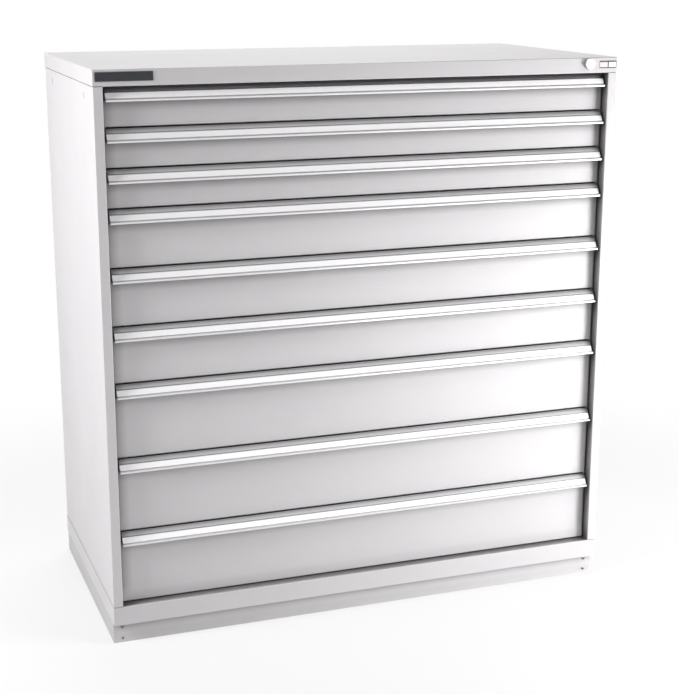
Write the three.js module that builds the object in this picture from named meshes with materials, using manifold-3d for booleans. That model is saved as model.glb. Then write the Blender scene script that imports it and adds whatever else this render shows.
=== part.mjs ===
// Extra-wide drawer cabinet of folded sheet steel. A housing stands on a low base with a screwed
// front cover, and holds nine full-width drawers. Each drawer hangs between two roller carriages
// that run out half as far as the drawer, and carries an extruded aluminium grip rail. A key in
// the header turns a crank that lowers a flat lock bar in front of a catch on every drawer.
//
// Millimetres, X to the right, Y to the back, Z up. The origin is on the floor, at the middle of
// the cabinet's outline. "Depth" is always counted from the front face of the housing backwards.

import * as THREE from "three";
import { mergeVertices } from "three/addons/utils/BufferGeometryUtils.js";
import Module from "manifold-3d";

const wasm = await Module();
wasm.setup();

// Outline of the housing
const overallWidth = 1435.1;
const overallDepth = 723.9;

// Faces round a turned part
const roundSides = 28;
const screwSides = 12;
const pinSides = 16;
const nutSides = 6;
const curveSteps = 4; // flats along a curved stretch of a pressed or extruded outline
const triangleCorners = 3;

// Clearances
const seatGap = 0.3; // between two pieces that rest on each other
const bladeGap = 1; // between a moving lip and what it passes

// Drawers, from the top one down, each a number of equal height steps
const heightStep = 50.2;
const drawerSteps = [2, 2, 2, 3, 3, 3, 4, 4, 4];
const drawerInsideDepth = 609.6;
const drawerSheet = 1.5;
const frontRecess = 27; // front panel behind the face of the housing
const frontSideGap = 4; // front panel to post, each side
const frontLowerGap = 1.5; // foot of a front panel above its slot
const frontFlange = 12; // upper and lower edges folded back
const frontHem = 8; // side edges folded back
const wallDrop = 16; // top of the drawer's walls below its slot's top
const wallHem = 6; // upper edge of a wall folded inwards
const floorLift = 4; // drawer's floor above the foot of its slot

// Grip rail, an extrusion across the whole front. "Reach" is counted forwards from the face of the
// front panel, "drop" downwards from the rail's upper edge.
const railEndInset = 3; // shorter than the front panel, each end
const railTopGap = 2.5; // top of the rail below its slot's top
const railWall = 2;
const railHook = 9; // leg that lies over the front panel's upper edge
const railPlateHeight = 34;
const railEdge = 1; // height of the rail's upper edge
const shoulderBulge = [5, 3]; // reach and drop that the rounded shoulder is drawn towards
const shoulderReach = 9.2;
const shoulderDrop = 10;
const grooveWidth = 1.2; // fine grooves above and below the label face
const grooveDepth = 1;
const labelSlope = 0.5; // reach that the label face gains for each millimetre of its height
const labelHeight = 15;
const lipRise = 1.6; // slanted top of the lip
const lipReach = 23;
const lipHeight = 4.6;
const lipRound = 1.2;

// Housing sheets
const housingSheet = 2;
const panelInset = 1; // side panels behind the ends of cover and pan
const postWidth = 26;
const postReturn = 31;
const postLip = 12;
const rearFlange = 24;
const backSheet = 1.5;
const coverHeight = 41.4;
const panHeight = 53.2;
const trayReturn = 24; // folded edge under the cover and the pan
const coverRound = 3;
const clearanceBelowDrawers = 1.5;
const clearanceAboveDrawers = 1.5;
const slotWidth = 4; // small upright slots near the top of each side panel
const slotHeight = 17;
const slotDrop = 20.4;
const slotDepths = [118, 600];

// Base
const baseHeight = 58;
const baseSideInset = 1.5;
const baseFrontRecess = 22;
const baseSheet = 3;
const baseFlange = 40;
const baseTab = 48; // upright tabs that the front cover is screwed to
const baseCoverSheet = 2;
const screwEndInset = 24;
const screwHeights = [13, 45];
const screwRadius = 2;
const screwHeadRadius = 4;
const screwHeadHeight = 2.4;
const screwLength = 9;

// Slides: fixed runner, carriage with rollers on both faces, runner on the drawer
const uprightWidth = 33;
const uprightDepth = 30;
const uprightSheet = 2.5;
const runnerSheet = 2;
const runnerStart = 42; // depth at which the fixed runners begin
const runnerLength = 640;
const runnerLift = 22; // middle of the slide above the foot of its slot
const rollerRadius = 14.7;
const rollerWidth = 12;
const rollerSides = 12;
const rollerEndInset = 20;
const rollerMiddleInset = 32; // inner rollers from the middle of the carriage
const carriageSheet = 3;
const carriageHeight = 30;
const carriageLength = 600;
const carriageStart = 44;
const carriageWindow = 120; // lightening slots between the rollers
const carriageWindowHeight = 12;

// Lock
const lockInset = 87.5; // key axis from the right side of the cover
const lockRise = 24.4; // key axis above the foot of the header
const lockProjection = 11.3;
const lockFaceRadius = 13;
const lockFaceRound = 1.5;
const lockShankRadius = 9.5;
const lockShankDepth = 20;
const lockNutRadius = 14;
const lockNutHeight = 4;
const plugRadius = 6;
const plugDepth = 29;
const keySlot = [2.2, 8, 3.5];
const tangSide = 7;
const crankRadius = 8;
const crankSheet = 3;
const crankPinRadius = 3;
const barDepth = 36; // lock bar's front face
const barSheet = 3;
const barWidth = 14;
const barSideGap = 3.2;
const barTravel = 12;
const barPinPlay = 0.5;
const barArmHeight = 16;
const catchHeight = 16;
const catchDrop = 40; // middle of a drawer's catch below its slot's top
const catchSheet = 3;
const tabHeight = 8;
const tabOverlap = 12; // reach of a tab across its catch
const tabLift = 3; // open tab above the catch
const clipHeight = 24;
const clipSheet = 2.4;

// Plates on the header
const badgeSize = [142.8, 22.4];
const badgeInset = 7.8;
const badgeRise = 12.2;
const badgeSheet = 1;
const labelSize = [51, 19];
const labelInset = 2.8;
const labelRise = 12.6;
const labelSheet = 0.5;

// Places worked out from the sizes above
const halfWidth = overallWidth / 2;
const frontFace = (lockProjection - overallDepth) / 2;
const backFace = frontFace + overallDepth;
const atDepth = (depth) => frontFace + depth;
const panBottom = baseHeight + seatGap;
const panTop = panBottom + panHeight;
const stackBottom = panTop + clearanceBelowDrawers;
const stackHeight = heightStep * drawerSteps.reduce((sum, steps) => sum + steps, 0);
const coverBottom = stackBottom + stackHeight + clearanceAboveDrawers;
const coverTop = coverBottom + coverHeight;
const panelBottom = panTop + seatGap;
const panelTop = coverBottom - seatGap;
const panelOuter = halfWidth - panelInset;
const panelInner = panelOuter - housingSheet;
const postInner = halfWidth - postWidth;
const uprightOuter = panelInner - seatGap;
const uprightInner = uprightOuter - uprightWidth;
const fixedRunnerInner = uprightInner - uprightSheet;
const carriageOuter = fixedRunnerInner - seatGap - rollerWidth;
const carriageInner = carriageOuter - carriageSheet;
const drawerRunnerOuter = carriageInner - rollerWidth - seatGap;
const wallOuter = drawerRunnerOuter - runnerSheet;
const wallInner = wallOuter - drawerSheet;
const frontHalf = postInner - frontSideGap;
const frontBack = frontRecess + drawerSheet;
const drawerBack = frontBack + drawerInsideDepth + drawerSheet;
const channelHalf = rollerRadius + seatGap;
const lockX = halfWidth - lockInset;
const lockZ = coverBottom + lockRise;
const crankThrow = barTravel / Math.SQRT2;
const barOuter = panelInner - barSideGap;
const barInner = barOuter - barWidth;
const uprightStart = barDepth + barSheet + seatGap;
const catchOuter = uprightInner - bladeGap;
const tabInner = catchOuter - tabOverlap;

// The drawers' slots, named from the top one down
function drawerSlots() {
  const slots = [];
  let top = stackBottom + stackHeight;
  drawerSteps.forEach((steps, index) => {
    const bottom = top - steps * heightStep;
    slots.push({ number: index + 1, bottom, top, height: top - bottom });
    top = bottom;
  });
  return slots;
}

// Finishes
const paint = { color: 0xe4e5e7, roughness: 0.42, metalness: 0.0 };
const zinc = { color: 0xb4b7ba, roughness: 0.38, metalness: 0.9 };
const anodised = { color: 0xc9cbce, roughness: 0.34, metalness: 0.9 };
const chrome = { color: 0xd6d8da, roughness: 0.18, metalness: 1.0 };
const darkPlate = { color: 0x4b4c4f, roughness: 0.4, metalness: 0.2 };
const paleLabel = { color: 0xf1e4e6, roughness: 0.5, metalness: 0.0 };

const cabinet = new THREE.Group();

// Solids and booleans

function solidOf(geometry) {
  const bare = geometry.clone();
  bare.deleteAttribute("normal");
  bare.deleteAttribute("uv");
  const merged = mergeVertices(bare, 1e-4);
  const vertProperties = new Float32Array(merged.getAttribute("position").array);
  const triVerts = new Uint32Array(merged.index.array);
  return new wasm.Manifold(new wasm.Mesh({ numProp: 3, vertProperties, triVerts }));
}

function geometryOf(solid) {
  const mesh = solid.getMesh();
  const geometry = new THREE.BufferGeometry();
  geometry.setAttribute("position", new THREE.BufferAttribute(mesh.vertProperties, 3));
  geometry.setIndex(new THREE.BufferAttribute(mesh.triVerts, 1));
  geometry.computeVertexNormals();
  return geometry;
}

function joined(geometries) {
  return geometries.map(solidOf).reduce((whole, piece) => whole.add(piece));
}

function without(solid, cutters) {
  return cutters.map(solidOf).reduce((rest, cutter) => rest.subtract(cutter), solid);
}

// Box between two corners
function block(low, high) {
  const size = high.map((value, axis) => value - low[axis]);
  const middle = high.map((value, axis) => (value + low[axis]) / 2);
  return new THREE.BoxGeometry(...size).translate(...middle);
}

function extruded(shape, length, basis, curveSegments = curveSteps) {
  const geometry = new THREE.ExtrudeGeometry(shape, { depth: length, bevelEnabled: false, curveSegments });
  return geometry.applyMatrix4(new THREE.Matrix4().makeBasis(...basis));
}

const unitX = new THREE.Vector3(1, 0, 0);
const unitY = new THREE.Vector3(0, 1, 0);
const unitZ = new THREE.Vector3(0, 0, 1);

// Section drawn in Y and Z, run from one X to another
function alongX(shape, from, to) {
  return extruded(shape, to - from, [unitY, unitZ, unitX]).translate(from, 0, 0);
}

// Section drawn in X and Z, run from one Y to another
function alongY(shape, from, to, curveSegments) {
  const basis = [unitX, unitZ, unitY.clone().negate()];
  return extruded(shape, to - from, basis, curveSegments).translate(0, to, 0);
}

// Section drawn in X and Y, run from one Z to another
function alongZ(shape, from, to) {
  return extruded(shape, to - from, [unitX, unitY, unitZ]).translate(0, 0, from);
}

// Round bar from one Y to another
function barAlongY(radius, x, z, from, to, sides = roundSides) {
  const bar = new THREE.CylinderGeometry(radius, radius, to - from, sides);
  return bar.translate(x, (from + to) / 2, z);
}

// Ring turned about the Y axis from a profile of [radius, depth] points that closes on itself
function turned(profile, x, z, sides = roundSides) {
  const points = [...profile, profile[0]].map(([radius, depth]) => new THREE.Vector2(radius, depth));
  return new THREE.LatheGeometry(points, sides).translate(x, frontFace, z);
}

// Outline of a sheet folded along a path: the path is its outer skin, the metal lies to its left
function foldedSheet(path, thickness) {
  const corners = path.map(([x, y]) => new THREE.Vector2(x, y));
  const legs = corners.slice(1).map((corner, index) => corner.clone().sub(corners[index]).normalize());
  const leftOf = (leg) => new THREE.Vector2(-leg.y, leg.x);
  const inner = corners.map((corner, index) => {
    const before = legs[Math.max(index - 1, 0)];
    const after = legs[Math.min(index, legs.length - 1)];
    const mitre = leftOf(before).add(leftOf(after));
    const scale = thickness / mitre.dot(leftOf(after));
    return corner.clone().addScaledVector(mitre, scale);
  });
  return new THREE.Shape([...corners, ...inner.reverse()]);
}

function mirroredX(geometry) {
  const copy = geometry.clone();
  copy.applyMatrix4(new THREE.Matrix4().makeScale(-1, 1, 1));
  const index = copy.index.array;
  for (let corner = 0; corner < index.length; corner += triangleCorners) {
    [index[corner], index[corner + 1]] = [index[corner + 1], index[corner]];
  }
  copy.computeVertexNormals();
  return copy;
}

function addPiece(name, shape, finish, parent = cabinet) {
  const geometry = shape.isBufferGeometry ? shape : geometryOf(shape);
  const mesh = new THREE.Mesh(geometry, new THREE.MeshStandardMaterial(finish));
  mesh.name = name;
  parent.add(mesh);
  return mesh;
}

// Housing

// Inside of a tray that is open below, with a narrow return round its mouth
function trayWalls(bottom, top) {
  const hollow = block(
    [housingSheet - halfWidth, atDepth(housingSheet), bottom + housingSheet],
    [halfWidth - housingSheet, backFace - housingSheet, top - housingSheet],
  );
  const mouth = block(
    [trayReturn - halfWidth, atDepth(trayReturn), bottom - housingSheet],
    [halfWidth - trayReturn, backFace - trayReturn, bottom + 2 * housingSheet],
  );
  return [hollow, mouth];
}

function coverSection() {
  const section = new THREE.Shape();
  section.moveTo(backFace, coverTop);
  section.lineTo(backFace, coverBottom);
  section.lineTo(frontFace, coverBottom);
  section.absarc(frontFace + coverRound, coverTop - coverRound, coverRound, Math.PI, Math.PI / 2, true);
  section.closePath();
  return section;
}

function addTopCover() {
  const body = solidOf(alongX(coverSection(), -halfWidth, halfWidth));
  const shell = without(body, trayWalls(coverBottom, coverTop));
  const lockHole = barAlongY(
    lockShankRadius + seatGap, lockX, lockZ, atDepth(-housingSheet), atDepth(2 * housingSheet),
  );
  const barSlot = block(
    [barInner - bladeGap, atDepth(barDepth - bladeGap), coverBottom - housingSheet],
    [barOuter + bladeGap, atDepth(barDepth + barSheet + bladeGap), coverBottom + 2 * housingSheet],
  );
  addPiece("top_cover", without(shell, [lockHole, barSlot]), paint);
}

function addBottomPan() {
  const body = solidOf(block([-halfWidth, frontFace, panBottom], [halfWidth, backFace, panTop]));
  addPiece("bottom_pan", without(body, trayWalls(panBottom, panTop)), paint);
}

// Side sheet, hollow front post and rear flange, folded from one piece
function sidePanel() {
  const section = foldedSheet(
    [
      [panelOuter - rearFlange, backFace],
      [panelOuter, backFace],
      [panelOuter, frontFace],
      [postInner, frontFace],
      [postInner, atDepth(postReturn)],
      [postInner + postLip, atDepth(postReturn)],
    ].reverse(),
    housingSheet,
  );
  const slots = slotDepths.map((depth) => block(
    [panelInner - housingSheet, atDepth(depth), panelTop - slotDrop - slotHeight],
    [panelOuter + housingSheet, atDepth(depth + slotWidth), panelTop - slotDrop],
  ));
  return geometryOf(without(solidOf(alongZ(section, panelBottom, panelTop)), slots));
}

function addSidePanels() {
  const right = sidePanel();
  addPiece("side_panel_right", right, paint);
  addPiece("side_panel_left", mirroredX(right), paint);
}

function addBackPanel() {
  const rear = backFace - housingSheet - seatGap;
  const low = [seatGap - panelInner, rear - backSheet, panelBottom];
  const high = [panelInner - seatGap, rear, panelTop];
  addPiece("back_panel", block(low, high), paint);
}

// Base

function screwPlaces() {
  const sides = [["left", -1], ["right", 1]];
  const rows = ["lower", "upper"];
  return sides.flatMap(([side, sign]) => rows.map((row, index) => ({
    name: `base_screw_${side}_${row}`,
    x: sign * (halfWidth - baseSideInset - screwEndInset),
    z: screwHeights[index],
  })));
}

function screwHoles(fromDepth, toDepth) {
  const radius = screwRadius + seatGap;
  return screwPlaces().map(({ x, z }) => (
    barAlongY(radius, x, z, atDepth(fromDepth), atDepth(toDepth), screwSides)
  ));
}

function addBaseFrame() {
  const outer = halfWidth - baseSideInset;
  const coverBack = baseFrontRecess + baseCoverSheet + seatGap;
  const rear = backFace - baseSideInset;
  const channel = foldedSheet(
    [[outer - baseFlange, 0], [outer, 0], [outer, baseHeight], [outer - baseFlange, baseHeight]],
    baseSheet,
  );
  const rearChannel = foldedSheet(
    [[rear - baseFlange, 0], [rear, 0], [rear, baseHeight], [rear - baseFlange, baseHeight]],
    baseSheet,
  );
  const right = geometryOf(joined([
    alongY(channel, atDepth(coverBack), rear),
    block([outer - baseTab, atDepth(coverBack), 0], [outer, atDepth(coverBack + baseSheet), baseHeight]),
  ]));
  const frame = joined([right, mirroredX(right), alongX(rearChannel, -outer, outer)]);
  addPiece("base_frame", without(frame, screwHoles(0, 2 * baseFrontRecess)), paint);
}

function addBaseFrontCover() {
  const outer = halfWidth - baseSideInset;
  const face = atDepth(baseFrontRecess);
  const low = [-outer, face, seatGap];
  const high = [outer, face + baseCoverSheet, baseHeight - seatGap];
  const sheet = solidOf(block(low, high));
  addPiece("base_front_cover", without(sheet, screwHoles(0, 2 * baseFrontRecess)), paint);
}

function addBaseScrews() {
  const seat = atDepth(baseFrontRecess) - seatGap;
  screwPlaces().forEach(({ name, x, z }) => {
    const screw = joined([
      barAlongY(screwHeadRadius, x, z, seat - screwHeadHeight, seat, screwSides),
      barAlongY(screwRadius, x, z, seat - screwHeadHeight / 2, seat + screwLength, screwSides),
    ]);
    addPiece(name, screw, zinc);
  });
}

// Slides

// Channel with its web at one X, its flanges reaching to another, round the line of the rollers
function runnerSection(webOuter, webThickness, flangeTip, middle) {
  const side = Math.sign(flangeTip - webOuter);
  const top = middle + channelHalf + runnerSheet;
  const bottom = middle - channelHalf - runnerSheet;
  const webInner = webOuter + side * webThickness;
  return new THREE.Shape([
    [flangeTip, top], [webOuter, top], [webOuter, bottom], [flangeTip, bottom],
    [flangeTip, bottom + runnerSheet], [webInner, bottom + runnerSheet],
    [webInner, top - runnerSheet], [flangeTip, top - runnerSheet],
  ].map(([x, z]) => new THREE.Vector2(x, z)));
}

// Upright of C section, from the depth of its web to that of its open side
function upright(webDepth, openDepth) {
  const path = [
    [uprightInner, atDepth(openDepth)],
    [uprightInner, atDepth(webDepth)],
    [uprightOuter, atDepth(webDepth)],
    [uprightOuter, atDepth(openDepth)],
  ];
  const section = foldedSheet(openDepth > webDepth ? path : path.reverse(), uprightSheet);
  return alongZ(section, panelBottom, panelTop);
}

function fixedRunner(slot) {
  const webOuter = uprightInner + uprightSheet / 2;
  const section = runnerSection(
    webOuter,
    webOuter - fixedRunnerInner,
    carriageOuter + bladeGap,
    slot.bottom + runnerLift,
  );
  return alongY(section, atDepth(runnerStart), atDepth(runnerStart + runnerLength));
}

// Clip that keeps the lock bar against the front upright
function barClip(middle) {
  const front = barDepth - seatGap - clipSheet;
  const section = foldedSheet(
    [
      [barOuter + seatGap + clipSheet, atDepth(uprightStart + uprightSheet)],
      [barOuter + seatGap + clipSheet, atDepth(front)],
      [barInner - seatGap - clipSheet, atDepth(front)],
      [barInner - seatGap - clipSheet, atDepth(uprightStart + uprightSheet)],
    ].reverse(),
    clipSheet,
  );
  return alongZ(section, middle - clipHeight / 2, middle + clipHeight / 2);
}

function addRunnerFrames() {
  const runnerEnd = runnerStart + runnerLength;
  const frontUpright = upright(uprightStart, uprightStart + uprightDepth);
  const rearUpright = upright(runnerEnd, runnerEnd - uprightDepth);
  const frame = joined([frontUpright, rearUpright, ...drawerSlots().map(fixedRunner)]);
  const clips = drawerSlots()
    .filter((slot) => slot.number % 2 === 1)
    .map((slot) => barClip(slot.bottom + runnerLift));
  const left = mirroredX(geometryOf(frame));
  addPiece("runner_frame_left", left, zinc);
  addPiece("runner_frame_right", frame.add(joined(clips)), zinc);
}

function roller(depth, from, to) {
  const wheel = new THREE.CylinderGeometry(rollerRadius, rollerRadius, to - from, rollerSides);
  return wheel.rotateZ(Math.PI / 2).translate((from + to) / 2, atDepth(depth), 0);
}

// Slotted hole of a given length, drawn in Y and Z
function slotPath(middleY, middleZ, length, height) {
  const reach = (length - height) / 2;
  const path = new THREE.Path();
  path.absarc(middleY + reach, middleZ, height / 2, -Math.PI / 2, Math.PI / 2, false);
  path.absarc(middleY - reach, middleZ, height / 2, Math.PI / 2, 1.5 * Math.PI, false);
  return path;
}

// Carriage plate with two rollers on its outer face behind and two on its inner face in front
function carriage() {
  const middle = carriageStart + carriageLength / 2;
  const reach = carriageLength / 2 - carriageHeight / 2;
  const plate = new THREE.Shape();
  plate.absarc(atDepth(middle) + reach, 0, carriageHeight / 2, -Math.PI / 2, Math.PI / 2, false);
  plate.absarc(atDepth(middle) - reach, 0, carriageHeight / 2, Math.PI / 2, 1.5 * Math.PI, false);
  const quarter = carriageLength / 4;
  plate.holes = [-quarter, quarter].map((offset) => (
    slotPath(atDepth(middle + offset), 0, carriageWindow, carriageWindowHeight)
  ));
  const end = carriageLength / 2 - rollerEndInset;
  const overlap = carriageSheet / 2;
  const outerRollers = [rollerMiddleInset, end].map((offset) => (
    roller(middle + offset, carriageOuter - overlap, carriageOuter + rollerWidth)
  ));
  const innerRollers = [-rollerMiddleInset, -end].map((offset) => (
    roller(middle + offset, carriageInner - rollerWidth, carriageInner + overlap)
  ));
  return geometryOf(joined([alongX(plate, carriageInner, carriageOuter), ...outerRollers, ...innerRollers]));
}

function addCarriages() {
  const right = carriage();
  const left = mirroredX(right);
  drawerSlots().forEach((slot) => {
    const middle = slot.bottom + runnerLift;
    addPiece(`carriage_right_${slot.number}`, right, zinc).position.z = middle;
    addPiece(`carriage_left_${slot.number}`, left, zinc).position.z = middle;
  });
}

// Drawers, drawn with the foot of the slot at Z = 0

function drawerFront(height) {
  const top = height - railTopGap - railWall - seatGap;
  const face = atDepth(frontRecess);
  const section = foldedSheet(
    [[face + frontFlange, top], [face, top], [face, frontLowerGap], [face + frontFlange, frontLowerGap]],
    drawerSheet,
  );
  const hems = [-1, 1].map((sign) => {
    const edges = [sign * frontHalf, sign * (frontHalf - drawerSheet)].sort((a, b) => a - b);
    return block([edges[0], face, frontLowerGap], [edges[1], face + frontHem, top]);
  });
  return [alongX(section, -frontHalf, frontHalf), ...hems];
}

// Floor and side walls folded from one sheet, with the walls' upper edges turned inwards
function drawerTrough(height) {
  const top = height - wallDrop;
  const section = foldedSheet(
    [
      [wallHem - wallOuter, top],
      [-wallOuter, top],
      [-wallOuter, floorLift],
      [wallOuter, floorLift],
      [wallOuter, top],
      [wallOuter - wallHem, top],
    ],
    drawerSheet,
  );
  const rearWall = block(
    [-wallOuter, atDepth(drawerBack - drawerSheet), floorLift],
    [wallOuter, atDepth(drawerBack), top],
  );
  return [alongY(section, atDepth(frontRecess + drawerSheet / 2), atDepth(drawerBack)), rearWall];
}

function drawerRunners() {
  const webStart = wallOuter - drawerSheet / 2;
  const section = runnerSection(
    webStart,
    drawerRunnerOuter - webStart,
    carriageInner - bladeGap,
    runnerLift,
  );
  const front = atDepth(frontRecess + drawerSheet / 2);
  const right = geometryOf(solidOf(alongY(section, front, atDepth(drawerBack))));
  return [right, mirroredX(right)];
}

// Catch on the right wall that the lowered lock bar stands in front of
function drawerCatch(height) {
  const middle = height - catchDrop;
  const front = atDepth(barDepth + barSheet + bladeGap);
  return block(
    [wallInner, front, middle - catchHeight / 2],
    [catchOuter, front + catchSheet, middle + catchHeight / 2],
  );
}

function drawerBody(height) {
  return joined([...drawerFront(height), ...drawerTrough(height), ...drawerRunners(), drawerCatch(height)]);
}

// Section of the grip rail in Y and Z, with Z = 0 at the top of the drawer's slot
function gripRailSection() {
  const plateBack = atDepth(frontRecess) - seatGap;
  const at = (reach, drop) => [plateBack - reach, -railTopGap - drop];
  const labelDrop = shoulderDrop + grooveWidth;
  const labelReach = shoulderReach + labelSlope * grooveWidth;
  const footDrop = labelDrop + labelHeight;
  const footReach = labelReach + labelSlope * labelHeight;
  const lipTop = footDrop + grooveWidth + lipRise;
  const lowest = lipTop + lipHeight;
  const section = new THREE.Shape();
  section.moveTo(...at(-railHook, 0));
  section.lineTo(...at(0, 0));
  section.lineTo(...at(0, railEdge));
  section.quadraticCurveTo(...at(...shoulderBulge), ...at(shoulderReach, shoulderDrop));
  section.lineTo(...at(shoulderReach - grooveDepth, shoulderDrop));
  section.lineTo(...at(labelReach - grooveDepth, labelDrop));
  section.lineTo(...at(labelReach, labelDrop));
  section.lineTo(...at(footReach, footDrop));
  section.lineTo(...at(footReach - grooveDepth, footDrop));
  section.lineTo(...at(footReach - grooveDepth, footDrop + grooveWidth));
  section.lineTo(...at(footReach, footDrop + grooveWidth));
  // lip, with a rounded lower edge
  section.lineTo(...at(lipReach, lipTop));
  section.absarc(...at(lipReach - lipRound, lowest - lipRound), lipRound, Math.PI, 1.5 * Math.PI, false);
  section.lineTo(...at(lipReach - railWall, lowest));
  // inside of the finger hollow, back to the plate
  section.lineTo(...at(lipReach - railWall, lipTop + lipRise));
  section.lineTo(...at(footReach - railWall, footDrop + grooveWidth));
  section.lineTo(...at(labelReach - railWall, labelDrop + railWall));
  section.lineTo(...at(railWall, shoulderDrop));
  section.lineTo(...at(railWall, railPlateHeight));
  section.lineTo(...at(0, railPlateHeight));
  section.lineTo(...at(0, railWall));
  section.lineTo(...at(-railHook, railWall));
  section.closePath();
  return section;
}

function addDrawers() {
  const railHalf = frontHalf - railEndInset;
  const rail = geometryOf(solidOf(alongX(gripRailSection(), -railHalf, railHalf)));
  drawerSlots().forEach((slot) => {
    addPiece(`drawer_${slot.number}`, drawerBody(slot.height), paint).position.z = slot.bottom;
    addPiece(`grip_rail_${slot.number}`, rail, anodised).position.z = slot.top;
  });
}

// Lock

function addLockBarrel() {
  const bore = plugRadius + seatGap;
  const barrel = turned([
    [bore, -lockProjection],
    [lockFaceRadius - lockFaceRound, -lockProjection],
    [lockFaceRadius, lockFaceRound - lockProjection],
    [lockFaceRadius, -seatGap],
    [lockShankRadius, -seatGap],
    [lockShankRadius, lockShankDepth],
    [bore, lockShankDepth],
  ], lockX, lockZ);
  addPiece("lock_barrel", barrel, chrome);
  const nutTurns = Array.from({ length: nutSides }, (_, corner) => corner * (2 * Math.PI / nutSides));
  const nut = new THREE.Shape(nutTurns.map((turn) => new THREE.Vector2(
    lockX + lockNutRadius * Math.cos(turn),
    lockZ + lockNutRadius * Math.sin(turn),
  )));
  nut.holes = [new THREE.Path().absarc(lockX, lockZ, lockShankRadius + seatGap, 0, 2 * Math.PI, false)];
  const nutFront = atDepth(housingSheet + seatGap);
  addPiece("lock_nut", solidOf(alongY(nut, nutFront, nutFront + lockNutHeight, roundSides / 2)), zinc);
}

// Plug with a key slot in front and a square tang behind
function addLockPlug() {
  const front = atDepth(seatGap - lockProjection);
  const half = tangSide / 2;
  const tangEnd = atDepth(plugDepth + seatGap + crankSheet);
  const plug = joined([
    barAlongY(plugRadius, lockX, lockZ, front, atDepth(plugDepth)),
    block([lockX - half, atDepth(plugDepth - half), lockZ - half], [lockX + half, tangEnd, lockZ + half]),
  ]);
  const [width, height, depth] = keySlot;
  const slot = block(
    [lockX - width / 2, front - depth, lockZ - height / 2],
    [lockX + width / 2, front + depth, lockZ + height / 2],
  );
  addPiece("lock_plug", without(plug, [slot]), chrome);
}

// Crank on the tang; its pin stands half a quarter turn above the horizontal when unlocked
function addLockCrank() {
  const plate = new THREE.Shape();
  plate.absarc(crankThrow, 0, crankRadius, -Math.PI / 2, Math.PI / 2, false);
  plate.absarc(0, 0, crankRadius, Math.PI / 2, 1.5 * Math.PI, false);
  const half = tangSide / 2 + seatGap;
  const tilt = Math.PI / 4;
  const corner = half * Math.SQRT2;
  const square = [0, 1, 2, 3].map((side) => {
    const turn = side * (Math.PI / 2) + Math.PI / 4 - tilt;
    return new THREE.Vector2(corner * Math.cos(turn), corner * Math.sin(turn));
  });
  plate.holes = [new THREE.Path(square)];
  const back = plugDepth + seatGap + crankSheet;
  const pinEnd = barDepth + 2 * barSheet;
  const blank = alongY(plate, atDepth(back - crankSheet), atDepth(back), pinSides / 2);
  const pinStart = back - crankSheet / 2;
  const pin = barAlongY(crankPinRadius, crankThrow, 0, atDepth(pinStart), atDepth(pinEnd), pinSides);
  const crank = joined([blank.rotateY(-tilt), pin.rotateY(-tilt)]);
  addPiece("lock_crank", geometryOf(crank).translate(lockX, 0, lockZ), zinc);
}

// Flat bar with an arm to the crank and a tab above the catch of each drawer
function addLockBar() {
  const pinX = lockX + (crankThrow + barTravel / 2) / 2;
  const pinZ = lockZ + barTravel / 2;
  const armLeft = pinX - barArmHeight;
  const last = drawerSlots().at(-1);
  const tabBottom = (slot) => slot.top - catchDrop + catchHeight / 2 + tabLift;
  const bar = new THREE.Shape();
  bar.moveTo(armLeft, pinZ + barArmHeight / 2);
  bar.lineTo(armLeft, pinZ - barArmHeight / 2);
  bar.lineTo(barInner, pinZ - barArmHeight / 2);
  drawerSlots().forEach((slot) => {
    bar.lineTo(barInner, tabBottom(slot) + tabHeight);
    bar.lineTo(tabInner, tabBottom(slot) + tabHeight);
    bar.lineTo(tabInner, tabBottom(slot));
    bar.lineTo(barInner, tabBottom(slot));
  });
  bar.lineTo(barInner, tabBottom(last) - barWidth);
  bar.lineTo(barOuter, tabBottom(last) - barWidth);
  bar.lineTo(barOuter, pinZ + barArmHeight / 2);
  bar.closePath();
  const slotLength = 2 * (crankPinRadius + barPinPlay) + crankThrow - barTravel / 2;
  bar.holes = [slotPath(pinX, pinZ, slotLength, 2 * (crankPinRadius + barPinPlay))];
  addPiece("lock_bar", solidOf(alongY(bar, atDepth(barDepth), atDepth(barDepth + barSheet))), zinc);
}

// Plates on the header

function addPlate(name, left, bottom, [width, height], thickness, finish) {
  const back = atDepth(-seatGap);
  const plate = block([left, back - thickness, bottom], [left + width, back, bottom + height]);
  addPiece(name, plate, finish);
}

addTopCover();
addBottomPan();
addSidePanels();
addBackPanel();
addBaseFrame();
addBaseFrontCover();
addBaseScrews();
addRunnerFrames();
addCarriages();
addDrawers();
addLockBarrel();
addLockPlug();
addLockCrank();
addLockBar();
addPlate("badge_plate", badgeInset - halfWidth, coverBottom + badgeRise, badgeSize, badgeSheet, darkPlate);
addPlate(
  "lock_label", halfWidth - labelInset - labelSize[0], coverBottom + labelRise,
  labelSize, labelSheet, paleLabel,
);

export default cabinet;
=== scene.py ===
import math

import bmesh
import bpy
from mathutils import Matrix, Vector


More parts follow.
